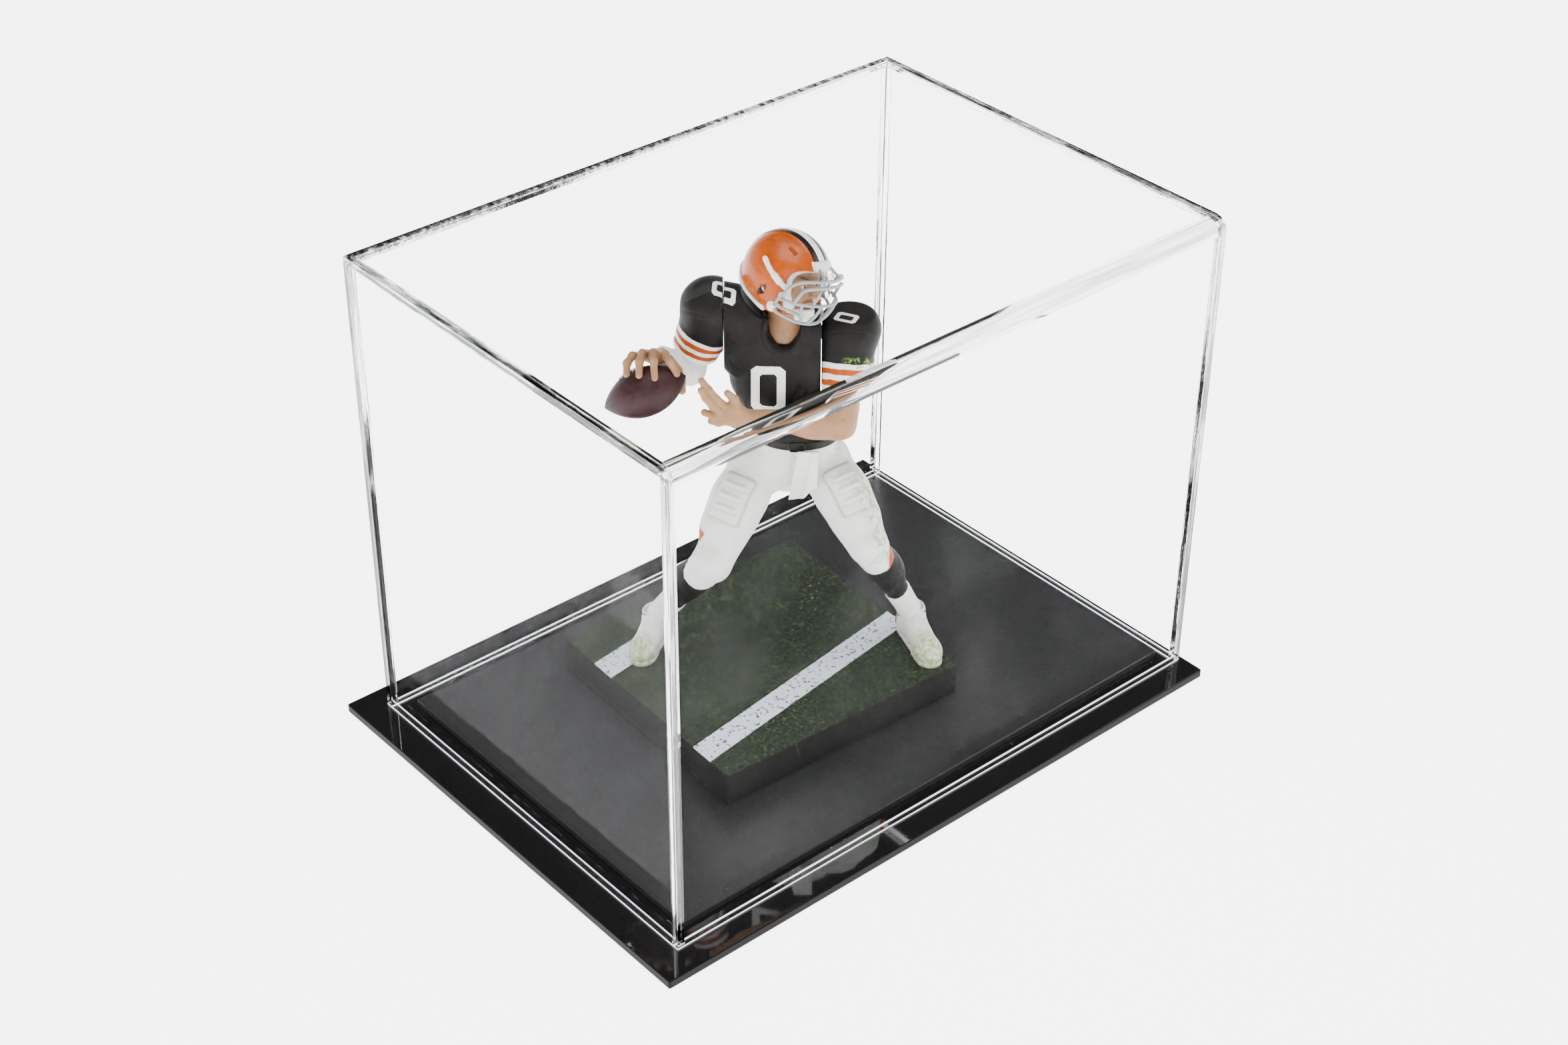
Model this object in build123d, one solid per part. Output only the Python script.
"""A clear display case with a football player figure in it.  Millimetres, +Z up.

The origin is the middle of the underside of the base plate.  X runs along the long side of the
case, Y across it.  The cover lifts straight up off the base.  The figure stands on its own block
of printed turf; its head and both arms turn on pins.
"""
from build123d import *
import math
import os

# ---- case, driving dimensions -------------------------------------------------------------
plate_length = 248.0
plate_width = 184.0
plate_thickness = 3.0
plate_corner_radius = 0.8
plate_edge_chamfer = 0.3

cover_length = 235.0
cover_width = 165.0
cover_height = 181.5
cover_wall = 2.4
cover_shift = 4.5            # the cover sits this far off the middle of the plate, along X
bend_outer_radius = 5.5      # line bend between the front and the top
glue_gap = 0.05              # each solvent joint

riser_length = 222.5
riser_width = 151.0
riser_thickness = 2.4
riser_shift = 6.0
riser_edge_chamfer = 0.3

# ---- turf block ---------------------------------------------------------------------------
block_length = 102.2
block_width = 96.2
block_height = 12.4
block_wall = 1.8
block_corner_radius = 0.8
turf_sheet_thickness = 0.6
block_centre = (-4.3, 4.9)
block_turn = -2.7            # degrees about Z

plate_top = plate_thickness
riser_top = plate_top + riser_thickness
turf_top = riser_top + block_height + turf_sheet_thickness

# ---- figure: points in its own frame -------------------------------------------------------
# Its X is its left, its Y is its back, and Z = 0 is the turf that it stands on.
figure_centre = (-2.9, 5.35)
figure_turn = -40.9          # degrees about Z

right_ankle = Vector(-38.6, 6.5, 9.5)
left_ankle = Vector(53.3, 9.0, 10.0)
right_toe = Vector(-44.4, -11.0, 0.0)
left_toe = Vector(60.8, -11.0, 0.0)
right_knee = Vector(-17.5, -12.6, 46.9)
left_knee = Vector(36.0, -7.9, 51.5)
right_hip = Vector(-2.4, 11.0, 71.6)
left_hip = Vector(20.6, 12.0, 72.4)
right_shoulder = Vector(-16.5, 16.0, 130.5)
left_shoulder = Vector(28.0, 16.0, 121.8)
right_hem = Vector(-23.5, 16.5, 114.0)
left_hem = Vector(26.7, 8.0, 104.0)
right_elbow = Vector(-25.5, 15.5, 107.5)
left_elbow = Vector(26.0, 1.5, 94.5)
right_wrist = Vector(-34.5, 7.5, 117.0)
right_knuckles = Vector(-38.5, 1.5, 119.0)
left_wrist = Vector(-7.0, -8.5, 102.5)
left_knuckles = Vector(-12.5, -9.5, 108.5)
left_fingertips = Vector(-20.0, -10.5, 115.0)
head_centre = Vector(7.6, 15.0, 144.8)
ball_centre = Vector(-39.4, -3.0, 109.4)

hip_radius = 9.2
knee_radius = 6.4
pant_hem_radius = 5.6
pant_hem_share = 0.2         # how far down the lower leg the pants reach
calf_start_share = 0.1
calf_radius = 5.4
ankle_radius = 3.6
waist_sections = [           # middle x, middle y, z, half width, half depth of hips
    (9.2, 11.5, 65.0, 8.0, 7.0),
    (9.2, 11.5, 70.0, 13.5, 9.8),
    (10.0, 11.5, 76.0, 14.8, 10.4),
    (11.5, 11.0, 83.5, 13.6, 9.4),
]
jersey_sections = [
    (11.0, 11.0, 86.5, 13.4, 9.2),
    (7.0, 12.0, 94.0, 13.6, 9.8),
    (3.5, 13.5, 104.0, 15.2, 10.6),
    (3.2, 15.0, 115.0, 16.4, 11.2),
    (4.5, 16.0, 123.0, 15.0, 10.6),
    (6.0, 16.0, 130.0, 10.5, 8.6),
]
belt_height = 2.9

shoe_width = 9.6
heel_setback = 2.2           # from the ankle back to the middle of the heel
toe_setback = 4.6            # from the tip of the toe to the middle of the toe cap
heel_radius = 4.6
toe_cap_radius = 4.4
toe_cap_height = 3.84
collar_radius = 4.4
ankle_collar_radius = 4.0
peg_share = 0.45             # how far a foot's peg stands from ankle to toe
foot_peg_radius = 1.3
foot_peg_length = 6.0

ball_length = 30.4
ball_radius = 8.3
ball_tip_slope = (1.0, 1.1)  # the outline's direction as it leaves one tip
ball_tail_slope = (1.0, -1.1)
ball_slope = 25.0            # degrees that the end near the body stands above the other end

towel_width = 7.6
towel_drop = 18.5
towel_thickness = 1.3
towel_top = Vector(15.2, -0.6, 85.0)

right_cap_radius = 10.8      # sleeve over the shoulder
right_hem_radius = 7.2
left_cap_radius = 10.6
left_hem_radius = 8.2
right_yoke_radius = 9.8      # shoulder pads under the jersey
left_yoke_radius = 9.0
upper_arm_radius = 5.8
right_elbow_radius = 5.4
left_elbow_radius = 5.2
right_forearm_radius = 5.2
left_forearm_radius = 5.0
right_wrist_radius = 3.6
left_wrist_radius = 3.4
palm_radius = 3.2
right_palm_heel_radius = 3.4
left_palm_heel_radius = 3.3
finger_root_radius = 2.9
fingertip_radius = 1.5
lace_strip = (9.0, 1.2, 2.0)
lace_turn = 55.0             # degrees about the ball's long axis

# ---- figure: joints -----------------------------------------------------------------------
pin_radius = 2.4
pin_clearance = 0.1
body_gap = 0.4               # between the figure's moving pieces
right_split = -13.5          # plane between jersey and right sleeve, in the figure's X
left_split = 19.4
head_room_radius = 16.6      # ball round the head that jersey and sleeves stay out of
mask_room_floor = 129.4      # height that the face mask passes over on the left shoulder
neck_radius = 6.2
neck_bottom = 122.4
neck_top_drop = 4.0          # the neck ends this far under the head's centre
neck_pin_below = 9.0
neck_pin_above = 8.0
shoulder_pin_outer = 3.0
shoulder_pin_inner = 12.0
far = 200.0                  # beyond the whole figure, for cutting planes

head_turn = -39.2            # direction of the face in the figure's XY, degrees from X
head_roll = 16.0             # head leans this far to its left
helmet_radii = (15.6, 13.4, 14.8)
helmet_thickness = 0.9
face_opening_back = 4.5
face_opening_top = 3.6
helmet_rim = -11.0           # height of the shell's lower edge
face_radii = (11.6, 9.8, 12.0)
face_drop = 1.2
mask_radii = (20.4, 15.4, 19.0)
mask_bar = 1.1
mask_bar_heights = (2.6, -4.6, -9.0, -12.6)
mask_bar_backs = (5.0, 5.0, 6.0, 10.0)
mask_bar_offsets = (4.2, 11.6)
mask_upright_back = 9.0
visor_radii = (16.8, 14.2, 15.4)
visor_thickness = 0.45
visor_back = 6.5
visor_bottom = -3.8
visor_top = 4.6
chin_cup_radius = 3.2
chin_cup_place = (10.2, 0.0, -9.2)


# ---- helpers ------------------------------------------------------------------------------
def ellipsoid(radii):
    """An ellipsoid with the given half sizes along X, Y and Z."""
    return scale(Sphere(1.0), by=radii)


def limb(start, end, start_radius, end_radius):
    """A tapered capsule between two points."""
    run = end - start
    axis = Plane(origin=start, z_dir=run)
    shaft = Cone(start_radius, end_radius, run.length, align=(Align.CENTER, Align.CENTER, Align.MIN))
    return Pos(*start) * Sphere(start_radius) + axis * shaft + Pos(*end) * Sphere(end_radius)


def pin(start, end, radius):
    """A plain round pin between two points."""
    run = end - start
    return Plane(origin=start, z_dir=run) * Cylinder(
        radius, run.length, align=(Align.CENTER, Align.CENTER, Align.MIN)
    )


def slab(low, high):
    """A box between two corners."""
    size = [high[i] - low[i] for i in range(3)]
    return Pos(*low) * Box(*size, align=(Align.MIN, Align.MIN, Align.MIN))


def stacked(sections):
    """A smooth body through level ellipses."""
    return loft([Pos(x, y, z) * Ellipse(a, b) for x, y, z, a, b in sections])


def along(start, end, share):
    """The point that lies a share of the way from start to end."""
    return start + (end - start) * share


# ---- case ---------------------------------------------------------------------------------
def base_plate():
    plate = extrude(RectangleRounded(plate_length, plate_width, plate_corner_radius), plate_thickness)
    return chamfer(plate.faces().sort_by(Axis.Z)[-1].edges(), plate_edge_chamfer)


def riser_platform():
    riser = Pos(riser_shift, 0, plate_top) * extrude(
        RectangleRounded(riser_length, riser_width, plate_corner_radius), riser_thickness
    )
    return chamfer(riser.faces().sort_by(Axis.Z)[-1].edges(), riser_edge_chamfer)


def cover_profile(outset):
    """Section of the cover's inside across its width, in Y and Z, grown by outset.

    Its front top corner is round, its back top corner is sharp and its foot is open.
    """
    front = -cover_width / 2 + cover_wall - outset
    back = cover_width / 2 - cover_wall + outset
    top = plate_top + cover_height - cover_wall + outset
    radius = bend_outer_radius - cover_wall + outset
    bend_start = (front, top - radius)
    bend_end = (front + radius, top)
    bend_middle = (front + radius * (1 - math.sqrt(0.5)), top - radius * (1 - math.sqrt(0.5)))
    return [
        Line((front, plate_top), bend_start),
        ThreePointArc(bend_start, bend_middle, bend_end),
        Line(bend_end, (back, top)),
        Line((back, top), (back, plate_top)),
        Line((back, plate_top), (front, plate_top)),
    ]


def cover_block(outset, length):
    """A solid of the cover's profile, grown by outset and centred along its length."""
    face = make_face(Curve() + cover_profile(outset))
    standing = Plane(origin=(cover_shift - length / 2, 0, 0), x_dir=(0, 1, 0), z_dir=(1, 0, 0))
    return extrude(standing * face, length)


def front_top_bent_sheet():
    """One sheet bent along the front top edge: it is the front wall and the top."""
    behind = slab(
        (cover_shift - cover_length, cover_width / 2 - cover_wall, plate_top - 1),
        (cover_shift + cover_length, cover_width, plate_top + cover_height - cover_wall),
    )
    rear_trim = slab(
        (cover_shift - cover_length, cover_width / 2, plate_top - 1),
        (cover_shift + cover_length, cover_width, plate_top + cover_height + 1),
    )
    sheet = cover_block(cover_wall, cover_length) - cover_block(0, cover_length + 2)
    return sheet - behind - rear_trim


def back_panel():
    return slab(
        (cover_shift - cover_length / 2, cover_width / 2 - cover_wall, plate_top),
        (
            cover_shift + cover_length / 2,
            cover_width / 2,
            plate_top + cover_height - cover_wall - glue_gap,
        ),
    )


def end_panel(side):
    """side is -1 for the left end and 1 for the right end."""
    panel = cover_block(-glue_gap, cover_wall)
    return Pos(side * (cover_length - cover_wall) / 2, 0, 0) * panel


# ---- turf block ---------------------------------------------------------------------------
def on_block(shape, z):
    """Place a shape from the block's own middle onto the riser, z above it."""
    return Location((*block_centre, riser_top + z), (0, 0, block_turn)) * shape


def in_figure(shape):
    """Place a shape from the figure's frame into the case."""
    return Location((*figure_centre, turf_top), (0, 0, figure_turn)) * shape


def sole_middle(ankle, toe):
    """The point under the ball of a foot, where its peg stands."""
    middle = along(ankle, toe, peg_share)
    return Vector(middle.X, middle.Y, 0)


def foot_pegs():
    pegs = []
    for ankle, toe in ((right_ankle, right_toe), (left_ankle, left_toe)):
        foot = sole_middle(ankle, toe)
        low = foot - Vector(0, 0, foot_peg_length / 2)
        high = foot + Vector(0, 0, foot_peg_length / 2)
        pegs.append(pin(low, high, foot_peg_radius))
    return pegs


def turf_block(pegs):
    """A moulded shell, open below, with a hole for each foot peg."""
    outside = extrude(RectangleRounded(block_length, block_width, block_corner_radius), block_height)
    inside = Box(
        block_length - 2 * block_wall,
        block_width - 2 * block_wall,
        block_height - block_wall,
        align=(Align.CENTER, Align.CENTER, Align.MIN),
    )
    return on_block(outside - inside, 0) - [in_figure(peg) for peg in pegs]


def turf_printed_sheet(pegs):
    sheet = extrude(
        RectangleRounded(block_length, block_width, block_corner_radius), turf_sheet_thickness
    )
    return on_block(sheet, block_height) - [in_figure(peg) for peg in pegs]


# ---- figure, legs -------------------------------------------------------------------------
def shoe(ankle, toe):
    """A flat-soled shoe from heel to toe, open only at the ankle."""
    flat = Vector(toe.X - ankle.X, toe.Y - ankle.Y, 0).normalized()
    heel = Vector(ankle.X, ankle.Y, shoe_width / 2) - flat * heel_setback
    toe_cap = Vector(toe.X, toe.Y, toe_cap_height) - flat * toe_setback
    upper = limb(heel, toe_cap, heel_radius, toe_cap_radius)
    collar = limb(heel, ankle, collar_radius, ankle_collar_radius)
    above_turf = slab((-far, -far, 0), (far, far, far))
    return (upper + collar) & above_turf


def pant_hem(knee, ankle):
    return along(knee, ankle, pant_hem_share)


def pant_leg(hip, knee, ankle):
    thigh = limb(hip, knee, hip_radius, knee_radius)
    return thigh + limb(knee, pant_hem(knee, ankle), knee_radius, pant_hem_radius)


def lower_leg(knee, ankle):
    return limb(along(knee, ankle, calf_start_share), ankle, calf_radius, ankle_radius)


def belt():
    x, y, z, half_width, half_depth = waist_sections[-1]
    return Pos(x, y, z) * extrude(Ellipse(half_width, half_depth), belt_height)


def towel():
    """A folded cloth that hangs from the belt."""
    cloth = Box(towel_width, towel_thickness, towel_drop, align=(Align.CENTER, Align.MAX, Align.MAX))
    return Pos(*towel_top) * cloth


# ---- figure, upper body -------------------------------------------------------------------
def neck_axis_pin(radius):
    low = Vector(head_centre.X, head_centre.Y, neck_bottom - neck_pin_below)
    high = Vector(head_centre.X, head_centre.Y, neck_bottom + neck_pin_above)
    return pin(low, high, radius)


def shoulder_pin(shoulder, inward, radius):
    """inward is 1 for the right shoulder, -1 for the left."""
    outer = shoulder - Vector(inward * shoulder_pin_outer, 0, 0)
    inner = shoulder + Vector(inward * shoulder_pin_inner, 0, 0)
    return pin(outer, inner, radius)


def jersey():
    """Torso with the padded yoke, cut flat where the sleeves turn against it."""
    yoke = limb(right_shoulder, left_shoulder, right_yoke_radius, left_yoke_radius)
    between = slab((right_split + body_gap / 2, -far, 0), (left_split - body_gap / 2, far, far))
    body = (stacked(jersey_sections) + yoke) & between
    body -= Pos(*head_centre) * Sphere(head_room_radius)
    body -= slab((head_centre.X, -far, mask_room_floor), (left_split, far, far))
    neck_seat = pin(
        Vector(head_centre.X, head_centre.Y, neck_bottom - body_gap),
        Vector(head_centre.X, head_centre.Y, head_centre.Z),
        neck_radius + body_gap,
    )
    body -= neck_seat
    body -= neck_axis_pin(pin_radius + pin_clearance)
    body -= shoulder_pin(right_shoulder, 1, pin_radius + pin_clearance)
    body -= shoulder_pin(left_shoulder, -1, pin_radius + pin_clearance)
    return body


def right_sleeve():
    outside = slab((-far, -far, 0), (right_split - body_gap / 2, far, far))
    sleeve = limb(right_shoulder, right_hem, right_cap_radius, right_hem_radius) & outside
    sleeve -= Pos(*head_centre) * Sphere(head_room_radius)
    return sleeve - shoulder_pin(right_shoulder, 1, pin_radius)


def left_sleeve():
    outside = slab((left_split + body_gap / 2, -far, 0), (far, far, far))
    sleeve = limb(left_shoulder, left_hem, left_cap_radius, left_hem_radius) & outside
    sleeve -= Pos(*head_centre) * Sphere(head_room_radius)
    return sleeve - shoulder_pin(left_shoulder, -1, pin_radius)


def ball_place():
    tip_direction = Vector(math.cos(math.radians(ball_slope)), 0, math.sin(math.radians(ball_slope)))
    return Location(Plane(origin=ball_centre, x_dir=tip_direction, z_dir=Vector(0, 1, 0)))


def football():
    """Pointed at both ends: a bowed outline turned about the long axis."""
    tip = ball_length / 2
    outline = Spline((-tip, 0), (0, ball_radius), (tip, 0), tangents=[ball_tip_slope, ball_tail_slope])
    half = make_face(Curve() + [outline, Line((tip, 0), (-tip, 0))])
    return ball_place() * revolve(half, Axis.X)


def ball_laces():
    strip = Pos(0, ball_radius, 0) * Box(*lace_strip)
    return ball_place() * Rot(lace_turn, 0, 0) * strip - football()


# ---- figure, head -------------------------------------------------------------------------
def head_place():
    """The head's frame: X is the way the face looks, Y its left, Z its crown."""
    turn = math.radians(head_turn)
    facing = Vector(math.cos(turn), math.sin(turn), 0)
    left = Vector(-math.sin(turn), math.cos(turn), 0)
    roll = math.radians(head_roll)
    crown = left * math.sin(roll) + Vector(0, 0, math.cos(roll))
    return Location(Plane(origin=head_centre, x_dir=facing, z_dir=crown))


def grown(radii, amount):
    return tuple(radius + amount for radius in radii)


def on_head(shape):
    return head_place() * shape


def helmet_shell():
    shell = ellipsoid(helmet_radii) - ellipsoid(grown(helmet_radii, -helmet_thickness))
    face_opening = slab((face_opening_back, -far, -far), (far, far, face_opening_top))
    below_ears = slab((-far, -far, -far), (far, far, helmet_rim))
    return shell - face_opening - below_ears


def face_mask():
    """A cage of bars, each clipped out of the shell of an egg."""
    cage = ellipsoid(mask_radii) - ellipsoid(grown(mask_radii, -mask_bar))
    half_bar = mask_bar / 2
    bars = [
        slab((back, -far, z - half_bar), (far, far, z + half_bar))
        for z, back in zip(mask_bar_heights, mask_bar_backs)
    ]
    lowest, highest = mask_bar_heights[-1], mask_bar_heights[0]
    for offset in mask_bar_offsets:
        for y in (-offset, offset):
            bars.append(
                slab((mask_upright_back, y - half_bar, lowest), (far, y + half_bar, highest))
            )
    return (cage & Part() + bars) - ellipsoid(helmet_radii)


def visor():
    shield = ellipsoid(visor_radii) - ellipsoid(grown(visor_radii, -visor_thickness))
    return shield & slab((visor_back, -far, visor_bottom), (far, far, visor_top))


def skull():
    return on_head(Pos(0, 0, -face_drop) * ellipsoid(face_radii))


def neck():
    """The neck stands upright in the collar, whatever way the head leans."""
    low = Vector(head_centre.X, head_centre.Y, neck_bottom)
    high = Vector(head_centre.X, head_centre.Y, head_centre.Z - neck_top_drop)
    return pin(low, high, neck_radius)


def chin_strap(head):
    cup = on_head(Pos(*chin_cup_place) * Sphere(chin_cup_radius))
    return cup - head


# ---- figure, assembled ----------------------------------------------------------------------
def leg_nodes(pegs):
    hips = stacked(waist_sections)
    waist_belt = belt()
    right_pants = pant_leg(right_hip, right_knee, right_ankle) - hips
    left_pants = pant_leg(left_hip, left_knee, left_ankle) - hips
    right_foot = shoe(right_ankle, right_toe) - pegs
    left_foot = shoe(left_ankle, left_toe) - pegs
    return {
        "right_shoe": right_foot,
        "left_shoe": left_foot,
        "right_lower_leg": lower_leg(right_knee, right_ankle) - right_foot - right_pants,
        "left_lower_leg": lower_leg(left_knee, left_ankle) - left_foot - left_pants,
        "right_pant_leg": right_pants,
        "left_pant_leg": left_pants,
        "hips": hips,
        "belt": waist_belt,
        "towel": towel() - hips - left_pants - right_pants - waist_belt,
    }


def head_nodes():
    pinned_neck_and_skull = (skull() + neck()) - neck_axis_pin(pin_radius)
    return {
        "head": pinned_neck_and_skull,
        "neck_pin": neck_axis_pin(pin_radius),
        "helmet_shell": on_head(helmet_shell()) - pinned_neck_and_skull,
        "face_mask": on_head(face_mask()),
        "visor": on_head(visor()),
        "chin_strap": chin_strap(pinned_neck_and_skull),
    }


def right_arm_nodes():
    sleeve = right_sleeve()
    upper_arm = limb(right_hem, right_elbow, upper_arm_radius, right_elbow_radius) - sleeve
    forearm = limb(right_elbow, right_wrist, right_forearm_radius, right_wrist_radius)
    forearm = forearm - upper_arm - sleeve
    ball = football()
    hand = limb(right_wrist, right_knuckles, right_palm_heel_radius, palm_radius)
    hand = hand - forearm - ball
    return {
        "right_shoulder_pin": shoulder_pin(right_shoulder, 1, pin_radius),
        "right_sleeve": sleeve,
        "right_upper_arm": upper_arm,
        "right_forearm": forearm,
        "right_hand": hand,
        "football": ball,
        "ball_laces": ball_laces() - hand,
    }


def left_arm_nodes():
    sleeve = left_sleeve()
    upper_arm = limb(left_hem, left_elbow, upper_arm_radius, left_elbow_radius) - sleeve
    forearm = limb(left_elbow, left_wrist, left_forearm_radius, left_wrist_radius)
    forearm = forearm - upper_arm - sleeve
    palm = limb(left_wrist, left_knuckles, left_palm_heel_radius, palm_radius)
    fingers = limb(left_knuckles, left_fingertips, finger_root_radius, fingertip_radius)
    return {
        "left_shoulder_pin": shoulder_pin(left_shoulder, -1, pin_radius),
        "left_sleeve": sleeve,
        "left_upper_arm": upper_arm,
        "left_forearm": forearm,
        "left_hand": (palm + fingers) - forearm,
    }


def build():
    """Every node by name, in the case's frame."""
    pegs = foot_pegs()
    nodes = {
        "base_plate": base_plate(),
        "riser_platform": riser_platform(),
        "front_top_bent_sheet": front_top_bent_sheet(),
        "back_panel": back_panel(),
        "left_end_panel": end_panel(-1),
        "right_end_panel": end_panel(1),
        "turf_block": turf_block(pegs),
        "turf_printed_sheet": turf_printed_sheet(pegs),
    }
    figure = {"foot_pegs": Part() + pegs, "jersey": jersey()}
    figure.update(leg_nodes(pegs))
    figure.update(head_nodes())
    figure.update(right_arm_nodes())
    figure.update(left_arm_nodes())
    for name, shape in figure.items():
        nodes[name] = in_figure(shape)
    return nodes


if __name__ == "__main__":
    os.makedirs("parts", exist_ok=True)
    for name, shape in build().items():
        export_step(shape, f"parts/{name}.step")
